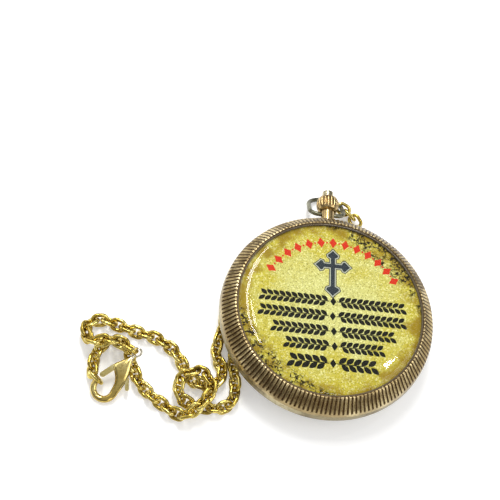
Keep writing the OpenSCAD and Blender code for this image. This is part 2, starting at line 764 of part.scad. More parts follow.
// One link, an oval of round wire that lies flat with its length along X
module link() {
  for (s = [-1, 1]) {
    translate([s * link_side / 2, 0, 0]) rotate([0, 0, -90 * s])
      rotate_extrude(angle = 180, $fn = 48) translate([link_bend_r, 0]) circle(r = link_wire_r, $fn = 16);
    translate([-link_side / 2, s * link_bend_r, 0]) rotate([0, 90, 0])
      cylinder(r = link_wire_r, h = link_side, $fn = 16);
  }
}

// A link centred at a point, lengthways along a direction and tilted about it
module link_along(centre, way, tilt) {
  translate(centre) rotate([0, -asin(way[2] / norm(way)), atan2(way[1], way[0])]) rotate([tilt, 0, 0]) link();
}

module chain_part(from_share, to_share) {
  color(chain_brass) for (i = [round(links * from_share):round(links * to_share) - 1]) {
    a = at(i * link_step);
    b = at((i + 1) * link_step);
    link_along((a + b) / 2, b - a, i % 2 == 0 ? -link_tilt : link_tilt);
  }
}

module chain_heap_top() { chain_part(0, heap_top_share); }
module chain_upper_run() { chain_part(heap_top_share, upper_run_share); }
module chain_outer_way() { chain_part(upper_run_share, outer_way_share); }
module chain_turn() { chain_part(outer_way_share, turn_share); }
module chain_inner_way() { chain_part(turn_share, inner_way_share); }
module chain_lower_run() { chain_part(inner_way_share, lower_run_share); }
module chain_heap_base() { chain_part(lower_run_share, 1); }

// Puts what is drawn in the clasp's own frame where the clasp lies
module clasp_frame() {
  translate(clasp_at) rotate([0, 0, clasp_turn]) rotate([clasp_lean, 0, 0]) children();
}

// The clasp's end links: one through the eye, one over the hook
eye_link_off = [0.18, 0.12];
eye_link_turn = 176.4;
eye_link_tilt = 72.5;
hook_link_at = [-51.93, -19.515, 2.03];
hook_link_way = [-0.7682, 0.538, 0.3469];
hook_link_tilt = 68.3;

module eye_link() {
  reach = link_bend_r + link_side / 2;
  color(chain_brass) clasp_frame() translate(eye_c + [-eye_link_off[0] - reach, eye_link_off[1]])
    rotate([0, 0, eye_link_turn]) rotate([eye_link_tilt, 0, 0]) link();
}

module hook_link() {
  color(chain_brass) link_along(hook_link_at, hook_link_way, hook_link_tilt);
}

// A flat bar with round ends from a to b
module bar(a, b, w) {
  d = b - a;
  translate(a) rotate([0, 0, atan2(d[1], d[0])]) translate([0, -w / 2]) square([norm(d), w]);
  translate(b) circle(d = w, $fn = 32);
}

// The body's outline, as shares of the clasp's length
body_shares = [
  [0.06, 0.74], [0.097, 0.658], [0.132, 0.55], [0.146, 0.443], [0.141, 0.336], [0.117, 0.228],
  [0.067, 0.148], [-0.007, 0.215], [-0.003, 0.329], [-0.05, 0.403], [-0.109, 0.47], [-0.16, 0.53],
  [-0.154, 0.564], [0.007, 0.745]
];

module clasp_body() {
  color(chain_brass) clasp_frame() difference() {
    union() {
      translate([0, 0, -clasp_t / 2]) linear_extrude(height = clasp_t) polygon(clasp_l * body_shares);
      translate(hook_c) rotate([0, 0, hook_open]) rotate_extrude(angle = hook_close - hook_open)
        translate([hook_r, 0]) circle(r = hook_wire_r, $fn = 32);
      translate(tip_at) rotate([0, 0, hook_open - 180]) rotate([-90, 0, 0]) translate([0, 0, -hook_wire_r / 4])
        cylinder(r = hook_wire_r, h = tip_l + hook_wire_r / 4, $fn = 32);
      translate(neck_from) rotate([0, 0, -atan2(neck_way[0], neck_way[1])]) rotate([-90, 0, 0])
        cylinder(r = 2 * eye_wire_r, h = norm(neck_way) - eye_r, $fn = 32);
      translate(eye_c) rotate_extrude($fn = 48) translate([eye_r, 0]) circle(r = eye_wire_r, $fn = 16);
    }
    translate([-clasp_l, slot_low, -gate_t / 2 - gate_gap])
      cube([2 * clasp_l, slot_high - slot_low, gate_t + 2 * gate_gap]);
    translate(concat(pivot_at, [-clasp_t])) cylinder(r = gate_pin_r + shaft_gap, h = 2 * clasp_t, $fn = 32);
  }
}

module clasp_gate() {
  color(chain_brass) clasp_frame() difference() {
    translate([0, 0, -gate_t / 2]) linear_extrude(height = gate_t) {
      translate(pivot_at) circle(r = gate_eye_r, $fn = 48);
      bar(pivot_at, knee_at, gate_w);
      bar(knee_at, gate_end_at, gate_w);
      bar(pivot_at, lever_mid_at, lever_w);
      bar(lever_mid_at, lever_end_at, lever_w);
    }
    translate(concat(pivot_at, [-clasp_t])) cylinder(r = gate_pin_r + shaft_gap, h = 2 * clasp_t, $fn = 32);
    translate(concat(pivot_at, [spring_low])) cylinder(r = spring_seat_r, h = gate_t, $fn = 48);
  }
}

module clasp_pin() {
  color(steel) clasp_frame() translate(concat(pivot_at, [-clasp_t / 2]))
    cylinder(r = gate_pin_r, h = clasp_t, $fn = 32);
}

// One turn of spring wire round the pin, let into the gate
spring_seat_r = 0.72;
spring_wire = 0.1;
spring_low = gate_t / 2 - 0.3;

module clasp_spring() {
  color(steel) clasp_frame() translate(concat(pivot_at, [spring_low + spring_wire + seat_gap]))
    rotate_extrude($fn = 36) translate([spring_seat_r - spring_wire - seat_gap, 0])
      circle(r = spring_wire, $fn = 16);
}

// The chain's first links, which hang from the bow: each one's centre, direction and tilt
bow_chain = [
  [[4.83, 32.38, 2.84], [0.905, -0.291, -0.311], 33.5],
  [[6.79, 31.43, 2.02], [0.749, -0.644, -0.16], -56],
  [[8.21, 29.71, 1.87], [0.548, -0.829, -0.113], 31.5]
];

module bow_links() {
  color(chain_brass) for (b = bow_chain) link_along(b[0], b[1], b[2]);
}

case_bowl();
pendant_neck();
crown_barrel();
push_button();
button_stem();
button_spring();
catch_lever();
catch_screw();
compass_pan();
dial();
pivot_post();
pivot_pin();
needle();
needle_hub();
needle_jewel();
dial_glass();
glass_ring();
hinge_pin();
lid_shell();
bezel();
lid_liner();
printed_disc();
crystal();
crystal_seal();
bow();
bow_links();
clasp_body();
clasp_gate();
clasp_pin();
clasp_spring();
eye_link();
hook_link();
chain_heap_top();
chain_upper_run();
chain_outer_way();
chain_turn();
chain_inner_way();
chain_lower_run();
chain_heap_base();
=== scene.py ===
"""Looks of a brass pocket compass on a chain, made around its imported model.

The compass lies shut and face up. The frame has its origin in the middle of the case's foot, +Y to
the crown and +Z up through the crystal. Sizes are millimetres unless a name says otherwise.
"""

import logging
import math
from dataclasses import dataclass
from enum import Enum
from functools import reduce
from typing import Any, Callable, Optional, Sequence, Union

import bmesh
import bpy
from mathutils import Matrix, Vector

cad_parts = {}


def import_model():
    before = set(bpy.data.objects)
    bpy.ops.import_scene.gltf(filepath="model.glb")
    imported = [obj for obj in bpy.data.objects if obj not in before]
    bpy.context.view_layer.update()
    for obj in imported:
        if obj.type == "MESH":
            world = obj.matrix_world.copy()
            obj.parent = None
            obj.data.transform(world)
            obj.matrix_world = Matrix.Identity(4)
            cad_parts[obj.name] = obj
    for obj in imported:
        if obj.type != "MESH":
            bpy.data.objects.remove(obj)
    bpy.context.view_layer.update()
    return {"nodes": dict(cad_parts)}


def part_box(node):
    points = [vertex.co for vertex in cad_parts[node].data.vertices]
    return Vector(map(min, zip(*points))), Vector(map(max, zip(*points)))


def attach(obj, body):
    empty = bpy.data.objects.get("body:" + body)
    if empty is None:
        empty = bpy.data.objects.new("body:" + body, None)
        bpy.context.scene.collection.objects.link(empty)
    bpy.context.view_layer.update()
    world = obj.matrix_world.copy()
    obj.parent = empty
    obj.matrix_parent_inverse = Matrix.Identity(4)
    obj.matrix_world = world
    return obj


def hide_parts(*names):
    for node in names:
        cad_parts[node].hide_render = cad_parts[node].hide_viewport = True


LOG = logging.getLogger("pocket_compass")
MM = 0.001
TEXT_SIZE = 1.35
SHARP = math.radians(38)
Trio = tuple[float, float, float]
Pair = tuple[float, float]
Form = bmesh.types.BMesh
Material = bpy.types.Material
Piece = bpy.types.Object
Socket = bpy.types.NodeSocket


def paint(*seen: int) -> Trio:
    """Turns a colour as seen on a screen, 0 to 255, into the shader's linear colour.

    Args:
        seen: Its red, green and blue.

    Returns:
        The linear colour.
    """
    def linear(share: float) -> float:
        """Returns one channel without the screen's curve."""
        return share / 12.92 if share <= 0.04045 else ((share + 0.055) / 1.055) ** 2.4

    return tuple(linear(channel / 255) for channel in seen)


@dataclass(frozen=True)
class Number:
    """A number on a node's socket. Its operators add Math nodes.

    Attributes:
        recipe: The recipe that the socket's node belongs to.
        socket: The output that carries the number.
    """

    recipe: "Recipe"
    socket: Socket

    def maths(self, operation: str, *others: "Term") -> "Number":
        """Adds a Math node, with the number as its first term, and returns its result."""
        terms = dict(enumerate((self, *others)))
        return Number(self.recipe, self.recipe.node("ShaderNodeMath", {"operation": operation}, terms))

    def __add__(self, other: "Term") -> "Number":
        """Returns the sum."""
        return self.maths("ADD", other)

    __radd__ = __add__

    def __mul__(self, other: "Term") -> "Number":
        """Returns the product."""
        return self.maths("MULTIPLY", other)

    __rmul__ = __mul__

    def __sub__(self, other: "Term") -> "Number":
        """Returns the difference."""
        return self.maths("SUBTRACT", other)

    def __rsub__(self, other: "Term") -> "Number":
        """Returns the difference with this number taken away."""
        return self * -1 + other

    def __truediv__(self, other: "Term") -> "Number":
        """Returns the quotient."""
        return self.maths("DIVIDE", other)

    def most(self, other: "Term") -> "Number":
        """Returns the larger of two."""
        return self.maths("MAXIMUM", other)

    def between(self, low: float, high: float) -> "Number":
        """Rises smoothly from 0 at low to 1 at high, or falls where low is the larger.

        Args:
            low: Where the rise starts.
            high: Where it ends.

        Returns:
            The share from 0 to 1.
        """
        inputs = {"Value": self, "From Min": min(low, high), "From Max": max(low, high)}
        share = Number(self.recipe, self.recipe.node(
            "ShaderNodeMapRange", {"interpolation_type": "SMOOTHSTEP"}, inputs))
        return share if low < high else 1 - share


Term = Union[Number, float]
Shade = Union[Socket, Trio]
Marks = Callable[["Recipe"], Number]


class Recipe:
    """One material's nodes, read from a piece's own coordinates, or the world's, read by direction."""

    def __init__(self, name: str, world: Optional[bpy.types.World] = None) -> None:
        """Starts an empty material or world.

        Args:
            name: The material's name.
            world: The world, if it is one.
        """
        self.material = world or bpy.data.materials.new(name)
        self.material.use_nodes = True
        self.tree = self.material.node_tree
        self.tree.nodes.clear()
        self.place = self.node("ShaderNodeTexCoord", output="Generated" if world else "Object")
        parts = self.node("ShaderNodeSeparateXYZ", inputs={0: self.place}).node
        self.x, self.y, self.z = (Number(self, socket) * (1 / MM) for socket in parts.outputs)

    def node(self, kind: str, settings: Optional[dict[str, Any]] = None,
             inputs: Optional[dict[Any, Any]] = None,
             output: Union[int, str, None] = 0) -> Optional[Socket]:
        """Adds a node.

        Args:
            kind: The node's type.
            settings: Its own settings, set first.
            inputs: Values or links of its sockets, by name or number.
            output: The output wanted, or None on a node that has none.

        Returns:
            That output's socket.
        """
        made = self.tree.nodes.new(kind)
        for name, value in (settings or {}).items():
            setattr(made, name, value)
        for key, value in (inputs or {}).items():
            socket = made.inputs[key]
            value = value.socket if isinstance(value, Number) else value
            if isinstance(value, Socket):
                self.tree.links.new(value, socket)
            elif socket.type == "RGBA":
                socket.default_value = (*value, 1)
            else:
                socket.default_value = value
        return None if output is None else made.outputs[output]

    def noise(self, grain: float, detail: float = 3, stretch: Trio = (1, 1, 1),
              shift: float = 0, warp: float = 0) -> Number:
        """Adds a noise.

        Args:
            grain: About the size of its patches.
            detail: Its detail.
            stretch: How many times finer it is along each axis.
            shift: Moves it, so that two noises differ.
            warp: How far it is pulled about.

        Returns:
            Its value, about 0.3 to 0.7.
        """
        where = self.node("ShaderNodeMapping", inputs={
            "Vector": self.place, "Location": (shift, shift, -shift), "Scale": stretch})
        return Number(self, self.node("ShaderNodeTexNoise", inputs={
            "Vector": where, "Scale": 1 / (grain * MM), "Detail": detail, "Distortion": warp}))

    def cracks(self, cell: float) -> Number:
        """Returns the distance to the nearest edge of a net of cells of that size, in cells."""
        inputs = {"Vector": self.place, "Scale": 1 / (cell * MM)}
        return Number(self, self.node("ShaderNodeTexVoronoi", {"feature": "DISTANCE_TO_EDGE"}, inputs))

    def radius(self) -> Number:
        """Returns the distance from the compass's axis."""
        return (self.x * self.x + self.y * self.y).maths("SQRT")

    def mix(self, share: Term, first: Shade, second: Shade) -> Socket:
        """Mixes two colours, with that share of the second, and returns the mixed colour."""
        colours = {0: share, 6: first, 7: second}
        return self.node("ShaderNodeMix", {"data_type": "RGBA"}, colours, 2)

    def close(self, shader: Socket) -> Material:
        """Joins a shader to the output.

        Args:
            shader: The finished shader.

        Returns:
            The material.
        """
        kind = "World" if isinstance(self.material, bpy.types.World) else "Material"
        self.node("ShaderNodeOutput" + kind, inputs={"Surface": shader}, output=None)
        return self.material

    def surface(self, relief: Number, depth: float, **sockets: Any) -> Material:
        """Ends the recipe with one surface shader.

        Args:
            relief: The surface's relief, 0 to 1.
            depth: Its depth.
            sockets: The shader's other sockets, with _ for a space.

        Returns:
            The material.
        """
        inputs = {name.replace("_", " "): value for name, value in sockets.items()}
        inputs["Normal"] = self.node("ShaderNodeBump", inputs={"Height": relief, "Distance": depth * MM})
        return self.close(self.node("ShaderNodeBsdfPrincipled", inputs=inputs))


@dataclass(frozen=True)
class Metal:
    """A worn metal: rubbed bright on its high spots, tarnished in patches, and darkened in its hollows by
    grime and painted shade.

    Attributes:
        name: The material's name.
        rubbed: Colour where fingers rub it.
        body: Colour of most of it.
        tarnish_and_shade: Colour of tarnished metal, which also paints the shade in hollows.
        gloss: Roughness of clean and of tarnished metal.
        patch: Size of the tarnished patches.
        spread: Share of the surface that is tarnished, 0 to 1.
        wear: Depth of the fine wear.
        hollow: Gives 1 in hollows, where grime gathers and shade is painted.
        bare: Gives 1 where the plating is rubbed off.
        plate: Colour of the pale metal under the plating.
        brushed: How many times finer its scratches are along each axis.
        dulled: How dark a patch and a speck are.
        scratch: How much a scratch shows in the colour, the roughness and the relief.
        pit: How much a speck shows in the relief.
    """

    name: str
    rubbed: Trio
    body: Trio
    tarnish_and_shade: Trio
    gloss: Pair
    patch: float
    spread: float
    wear: float = 0.03
    hollow: Optional[Marks] = None
    bare: Optional[Marks] = None
    plate: Trio = paint(222, 220, 206)
    brushed: Trio = (0.25, 7, 3)
    dulled: Pair = (0.55, 0.3)
    scratch: Trio = (0.25, 0.06, 0.4)
    pit: float = 0.6

    def make(self) -> Material:
        """Mixes the metal.

        Returns:
            The material.
        """
        recipe = Recipe(self.name)
        edge, fade = 0.62 - 0.28 * self.spread, 0.09
        patches = recipe.noise(self.patch, 5, warp=0.4).between(edge - fade, edge + fade)
        specks = recipe.noise(self.patch / 9, 4, shift=0.3).between(0.52, 0.68)
        scratches = recipe.noise(0.5, 2, stretch=self.brushed, shift=0.7).between(0.45, 0.75)
        dirt_and_shade = (patches * self.dulled[0] + specks * self.dulled[1]).maths("MINIMUM", 1)
        # Hollows add grime and painted shade, drawn in the tarnished colour.
        if self.hollow:
            dirt_and_shade = dirt_and_shade.most(self.hollow(recipe))
        rub = recipe.noise(self.patch * 1.7, 3, shift=1.1).between(0.42, 0.66) * (1 - dirt_and_shade)
        shine, rasp, depth = self.scratch
        colour = recipe.mix(dirt_and_shade, recipe.mix(rub, self.body, self.rubbed), self.tarnish_and_shade)
        colour = recipe.mix(scratches * shine, colour, self.rubbed)
        if self.bare:
            colour = recipe.mix(self.bare(recipe), colour, self.plate)
        low, high = self.gloss
        rough = dirt_and_shade * (high - low) + low + scratches * rasp
        relief = scratches * -depth + specks * -self.pit + 1
        return recipe.surface(relief, self.wear, Base_Color=colour, Metallic=1.0, Roughness=rough)


@dataclass(frozen=True)
class Flutes:
    """A row of flutes, darkened in their troughs by grime and painted shade.

    Attributes:
        count: How many there are.
        span: Where they start and end along their axis.
        fade: How softly they end.
        dark: Depths, as shares, at which the troughs' grime and painted shade start and are full.
        full: How dark the full grime and painted shade are.
    """

    count: int
    span: Pair
    fade: float
    dark: Pair
    full: float = 1.0

    def dirt_and_shade(self, angle: Number, along: Number) -> Number:
        """Gives 1 in their troughs.

        Args:
            angle: The angle round their axis.
            along: The place along it.

        Returns:
            The share of grime and painted shade.
        """
        (start, end), fade = self.span, self.fade
        # The troughs get grime and painted shade.
        trough = (angle * self.count).maths("COSINE") * -0.5 + 0.5
        within = along.between(start - fade, start + fade) * along.between(end + fade, end - fade)
        return trough.between(*self.dark) * within * self.full


RIM_FLUTES = Flutes(count=156, span=(8.8, 12.1), fade=0.15, dark=(0.35, 0.8))
RIM_SEAM = (22.33, 22.15)
CROWN_FLUTES = Flutes(count=22, span=(29.4, 32.4), fade=0.3, dark=(0.3, 0.9), full=0.9)
CROWN_Z = 6.2


def rim_dirt_and_shade(recipe: Recipe) -> Number:
    """Returns the share of grime and painted shade in the rim's flutes, and of grime in the seam round the
    crystal.
    """
    flutes = RIM_FLUTES.dirt_and_shade(recipe.y.maths("ARCTAN2", recipe.x), recipe.z)
    return flutes.most(recipe.radius().between(*RIM_SEAM))


def crown_dirt_and_shade(recipe: Recipe) -> Number:
    """Returns the share of grime and painted shade in the flutes of the crown's barrel."""
    return CROWN_FLUTES.dirt_and_shade((recipe.z - CROWN_Z).maths("ARCTAN2", recipe.x), recipe.y)


@dataclass(frozen=True)
class Parchment:
    """The print's mottled yellow ground, with a browned and cracked rim.

    Attributes:
        name: The material's name.
        pale: Colour in the middle.
        yellow: Colour of most of it.
        fleck: Colour of the pale flecks.
        pore: Colour of the fine pores.
        olive: Colour of the rim's mottles.
        ink: Colour of the cracks and specks.
        reach: Radius of the disc.
        cracked: Bearings at which it is cracked, with the share of the radius at which that starts:
            at the upper right, the lower left and the foot.
        fade: Share of the radius over which the cracks set in.
    """

    name: str = "parchment_print"
    pale: Trio = paint(213, 209, 130)
    yellow: Trio = paint(200, 185, 64)
    fleck: Trio = paint(248, 246, 184)
    pore: Trio = paint(140, 128, 36)
    olive: Trio = paint(146, 116, 10)
    ink: Trio = paint(34, 26, 6)
    reach: float = 22.0
    cracked: tuple[Pair, ...] = ((50, 0.74), (28, 0.84), (206, 0.84), (222, 0.78), (240, 0.8),
                                  (256, 0.88), (80, 0.9))
    fade: float = 0.08

    def make(self) -> Material:
        """Mixes the print's ground, one layer over another.

        Returns:
            The material.
        """
        recipe = Recipe(self.name)
        out = recipe.radius() / self.reach
        aged = (out + (recipe.noise(7, 4, warp=0.5) - 0.5) * 1.2).between(0.3, 0.9)
        grain = recipe.noise(0.42, 5, shift=0.2)
        flecks = grain.between(0.5, 0.36) * 0.6
        pores = recipe.noise(0.24, 3, shift=0.9).between(0.53, 0.66) * 0.9
        rim = (out + (recipe.noise(3.2, 5, shift=1.7) - 0.5) * 0.8).between(0.8, 1.04) * 0.85
        lines = recipe.cracks(1.3).between(0.09, 0.02) * 0.9
        spots = recipe.noise(0.8, 4, shift=2.3).between(0.5, 0.56)
        marks = lines.most(spots) * self.damage(recipe)
        colour = recipe.mix(aged, self.pale, self.yellow)
        for share, shade in ((flecks, self.fleck), (pores, self.pore), (rim, self.olive), (marks, self.ink)):
            colour = recipe.mix(share, colour, shade)
        return recipe.surface(grain - marks, 0.02, Base_Color=colour, Roughness=grain * 0.2 + 0.45,
                              Specular_IOR_Level=0.08)

    def damage(self, recipe: Recipe) -> Number:
        """Gives 1 where the print is cracked.

        Args:
            recipe: The print's recipe.

        Returns:
            The share of damage.
        """
        spots = []
        for bearing, start in self.cracked:
            turn = math.radians(bearing)
            along = (recipe.x * math.cos(turn) + recipe.y * math.sin(turn)) / self.reach
            spots.append(along.between(start, start + self.fade))
        return reduce(Number.most, spots) * recipe.noise(2.2, 4, shift=3.1).between(0.4, 0.5)


@dataclass(frozen=True)
class Ink:
    """A printed colour, or enamel, with a faint mottle.

    Attributes:
        name: The material's name.
        colour: Its colour.
        faded: Its colour where it is worn thin.
        rough: Its roughness.
        shine: Its specular level.
    """

    name: str
    colour: Trio
    faded: Trio
    rough: float = 0.5
    shine: float = 0.06

    def make(self) -> Material:
        """Mixes the ink.

        Returns:
            The material.
        """
        recipe = Recipe(self.name)
        thin = recipe.noise(0.35, 4).between(0.45, 0.7)
        colour = recipe.mix(thin * 0.5, self.colour, self.faded)
        return recipe.surface(thin, 0.004, Base_Color=colour, Roughness=thin * 0.15 + self.rough,
                              Specular_IOR_Level=self.shine)


@dataclass(frozen=True)
class Needle:
    """Blued steel with a red north half, and a pale painted highlight in soft clouds.

    Attributes:
        name: The material's name.
        north: Colour of the half to the crown.
        south: Colour of the other half.
        painted_sheen: Colour of the pale highlight painted on it in soft clouds.
    """

    name: str = "needle_enamel"
    north: Trio = paint(176, 34, 28)
    south: Trio = paint(38, 52, 92)
    painted_sheen: Trio = paint(120, 120, 140)

    def make(self) -> Material:
        """Mixes the needle's enamel.

        Returns:
            The material.
        """
        recipe = Recipe(self.name)
        cloud = recipe.noise(1.2, 3).between(0.35, 0.7)
        half = recipe.mix(recipe.y.between(-0.05, 0.05), self.south, self.north)
        # Pale painted highlight in soft clouds.
        colour = recipe.mix(cloud * 0.3, half, self.painted_sheen)
        return recipe.surface(cloud, 0.004, Base_Color=colour, Metallic=0.4,
                              Roughness=cloud * 0.2 + 0.25)


@dataclass(frozen=True)
class Clear:
    """Clear glass, which lets the print show and mirrors by its slope, on its outside alone.

    Attributes:
        name: The material's name.
        bend: Its index, which sets how strongly it mirrors.
        tint: Colour of what it lets through.
        polish: Its roughness where it is clean.
        smudge: How much a smear adds to its roughness and to its mirroring.
    """

    name: str
    bend: float = 1.3
    tint: Trio = (0.985, 0.99, 0.98)
    polish: float = 0.015
    smudge: Pair = (0.04, 0.006)

    def make(self) -> Material:
        """Mixes the glass.

        Returns:
            The material.
        """
        recipe = Recipe(self.name)
        smear = recipe.noise(5, 4, warp=1.0).between(0.45, 0.7)
        slope = Number(recipe, recipe.node("ShaderNodeFresnel", inputs={"IOR": self.bend}))
        inside = Number(recipe, recipe.node("ShaderNodeNewGeometry", output="Backfacing"))
        through = recipe.node("ShaderNodeBsdfTransparent", inputs={"Color": self.tint})
        rough, haze = (smear * share for share in self.smudge)
        shine = recipe.node("ShaderNodeBsdfAnisotropic", inputs={
            "Color": (1, 1, 1), "Roughness": rough + self.polish})
        return recipe.close(recipe.node("ShaderNodeMixShader", inputs={
            0: (slope + haze) * (1 - inside), 1: through, 2: shine}))


@dataclass(frozen=True)
class ClaspFrame:
    """The clasp's own axes, from the end of its hook.

    Attributes:
        base: Where the hook's end lies.
        side: The way across the clasp, away from its gate.
        along: The way to its eye.
        up: The way up through it.
        eye: The eye's middle, across and along.
        worn: How far from the eye the plating is all gone and all there, and how far gone it is.
    """

    base: Trio = (-49.4, -24.4, 0.8)
    side: Trio = (0.91355, -0.40674, 0.0)
    along: Trio = (0.38748, 0.8703, 0.30403)
    up: Trio = (-0.12366, -0.27775, 0.95266)
    eye: Pair = (1.05, 13.0)
    worn: Trio = (1.5, 2.9, 0.85)

    def world(self, x: float, y: float, z: float = 0.0) -> Vector:
        """Returns where a point across, along and up the clasp lies in the frame."""
        return Vector(self.base) + x * Vector(self.side) + y * Vector(self.along) + z * Vector(self.up)

    def bare(self, recipe: Recipe) -> Number:
        """Gives 1 round the eye, where the plating is rubbed off.

        Args:
            recipe: The clasp's recipe.

        Returns:
            The share of pale metal.
        """
        inner, outer, share = self.worn
        eye = self.world(*self.eye)
        x, y, z = recipe.x - eye.x, recipe.y - eye.y, recipe.z - eye.z
        return (x * x + y * y + z * z).maths("SQRT").between(outer, inner) * share


class Finish(Enum):
    """The finishes of the carried pieces and of the new ones."""

    CASE = Metal("aged_case_brass", paint(190, 178, 140), paint(150, 137, 102), paint(80, 64, 36),
                 (0.28, 0.5), 6.0, 0.2)
    # The rim's and the crown's flutes get painted shade along with grime.
    RIM = Metal("milled_rim_brass", paint(214, 196, 150), paint(158, 138, 96), paint(56, 34, 10),
                (0.26, 0.5), 4.0, 0.08, hollow=rim_dirt_and_shade)
    CROWN = Metal("crown_brass", paint(214, 194, 148), paint(178, 154, 106), paint(112, 84, 44),
                  (0.18, 0.36), 2.6, 0.1, 0.01, hollow=crown_dirt_and_shade)
    BUTTON = Metal("button_brass", paint(204, 196, 168), paint(160, 150, 118), paint(96, 84, 56),
                   (0.16, 0.34), 2.4, 0.1, 0.008)
    BRIGHT = Metal("worn_bright_brass", paint(224, 200, 132), paint(198, 172, 104), paint(120, 92, 44),
                   (0.18, 0.36), 3.0, 0.15)
    GOLD = Metal("antique_gold_chain", paint(236, 218, 132), paint(188, 163, 72), paint(104, 78, 18),
                 (0.16, 0.34), 1.9, 0.16, 0.008)
    SATIN = Metal("satin_clasp_gold", paint(236, 216, 142), paint(190, 164, 86), paint(112, 84, 30),
                  (0.17, 0.3), 5.0, 0.12, 0.004, bare=ClaspFrame().bare)
    # The gate's gold is paler than the clasp's and is also lightened as a painted highlight.
    GATE = Metal("gate_gold_and_painted_highlight", paint(246, 234, 176), paint(220, 202, 130), paint(130, 104, 48),
                 (0.2, 0.34), 2.4, 0.1, 0.006)
    NICKEL = Metal("aged_nickel", paint(150, 148, 126), paint(102, 100, 80), paint(56, 52, 36),
                   (0.26, 0.5), 1.8, 0.3)
    STEEL = Metal("plain_steel", paint(206, 206, 202), paint(168, 168, 164), paint(96, 92, 84),
                  (0.2, 0.4), 1.4, 0.15)
    SEAL = Ink("dark_seal", paint(40, 30, 18), paint(70, 54, 30), 0.6)
    JEWEL = Ink("red_jewel", paint(150, 26, 40), paint(188, 60, 70), 0.1, 0.5)
    CARD = Ink("dial_card", paint(236, 228, 202), paint(214, 202, 166), 0.7)
    LINER = Ink("grey_card", paint(150, 140, 118), paint(118, 108, 88), 0.8)
    PARCHMENT = Parchment()
    CRYSTAL = Clear("domed_crystal")
    PANE = Clear("flat_pane", 1.36)
    NEEDLE = Needle()
    SLATE = Ink("slate_ink", paint(48, 54, 60), paint(70, 78, 84))
    SILVER = Ink("silver_ink", paint(176, 178, 164), paint(206, 206, 184))
    BLACK = Ink("black_ink", paint(20, 20, 12), paint(34, 32, 18))
    RED = Ink("red_ink", paint(206, 48, 26), paint(214, 84, 44))

    def made(self) -> Material:
        """Returns the material, made on first use."""
        found = bpy.data.materials.get(self.value.name)
        return found or self.value.make()


def placed(name: str, data: bpy.types.ID) -> Piece:
    """Puts a new object in the scene.

    Args:
        name: Its name.
        data: Its mesh, curve, lamp or camera.

    Returns:
        The object, at the origin.
    """
    made = bpy.data.objects.new(name, data)
    bpy.context.scene.collection.objects.link(made)
    return made


def shaped(name: str, form: Form) -> Piece:
    """Makes a piece of a finished form.

    Args:
        name: The piece's name.
        form: The form, which is freed.

    Returns:
        The new piece.
    """
    mesh = bpy.data.meshes.new(name)
    form.to_mesh(mesh)
    form.free()
    return placed(name, mesh)


def solved(source: Piece) -> bpy.types.Mesh:
    """Works out an object's final mesh.

    Args:
        source: A curve, a text or a piece with modifiers.

    Returns:
        The new mesh.
    """
    bpy.context.view_layer.update()
    ready = source.evaluated_get(bpy.context.evaluated_depsgraph_get())
    return bpy.data.meshes.new_from_object(ready)


@dataclass
class Workshop:
    """Puts finishes on pieces.

    Attributes:
        nodes: The carried pieces, by name.
    """

    nodes: dict[str, Piece]

    def dress(self, finish: Finish, *names: str) -> None:
        """Gives carried pieces a finish.

        Args:
            finish: The finish.
            names: The pieces' names.
        """
        for name in names:
            piece = self.nodes[name]
            if not piece.material_slots:
                piece.data.materials.append(None)
            for slot in piece.material_slots:
                slot.material = finish.made()
            LOG.info("%s: %s", name, finish.value.name)

    def settle(self, piece: Piece, finish: Finish, body: str) -> None:
        """Finishes a new piece and hangs it on its body.

        Args:
            piece: The new piece.
            finish: Its finish.
            body: The body it rides on.
        """
        piece.data.materials.clear()
        piece.data.materials.append(finish.made())
        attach(piece, body)
        LOG.info("%s: %s, on %s", piece.name, finish.value.name, body)


def flat(name: str, outlines: Sequence[Sequence[Pair]], levels: Pair, grow: float = 0.0) -> Piece:
    """Makes a flat piece from closed outlines.

    Args:
        name: The piece's name.
        outlines: The outlines, one inside another being a hole.
        levels: Heights of its underside and its top.
        grow: How far the outlines grow.

    Returns:
        The new piece.
    """
    curve = bpy.data.curves.new(name + "_outline", "CURVE")
    curve.dimensions, curve.fill_mode = "2D", "BOTH"
    curve.extrude, curve.offset = (levels[1] - levels[0]) / 2, grow
    for outline in outlines:
        spline = curve.splines.new("POLY")
        spline.points.add(len(outline) - 1)
        for point, (x, y) in zip(spline.points, outline):
            point.co = (x, y, 0, 1)
        spline.use_cyclic_u = True
    return meshed(name, curve, Matrix.Translation((0, 0, sum(levels) / 2)))


def lettered(name: str, words: str, height: float, at: Pair, turn: float, levels: Pair) -> Piece:
    """Makes one mark of plain numbers or a letter.

    Args:
        name: The piece's name.
        words: The mark.
        height: The height of its letters.
        at: Its middle.
        turn: How far it is turned, in degrees.
        levels: Heights of its underside and its top.

    Returns:
        The new piece.
    """
    curve = bpy.data.curves.new(name + "_mark", "FONT")
    curve.body, curve.size = words, height * TEXT_SIZE
    curve.align_x, curve.align_y = "CENTER", "CENTER"
    curve.extrude = (levels[1] - levels[0]) / 2
    place = Matrix.Translation((*at, sum(levels) / 2))
    return meshed(name, curve, place @ Matrix.Rotation(math.radians(turn), 4, "Z"))


def meshed(name: str, curve: bpy.types.Curve, place: Matrix) -> Piece:
    """Turns a curve or text, drawn in millimetres, into a mesh piece.

    Args:
        name: The piece's name.
        curve: The curve or text.
        place: Where it goes, in millimetres.

    Returns:
        The mesh piece, at the origin.
    """
    source = placed(name, curve)
    mesh = solved(source)
    mesh.name = name
    mesh.transform(Matrix.Scale(MM, 4) @ place)
    bpy.data.objects.remove(source)
    return placed(name, mesh)


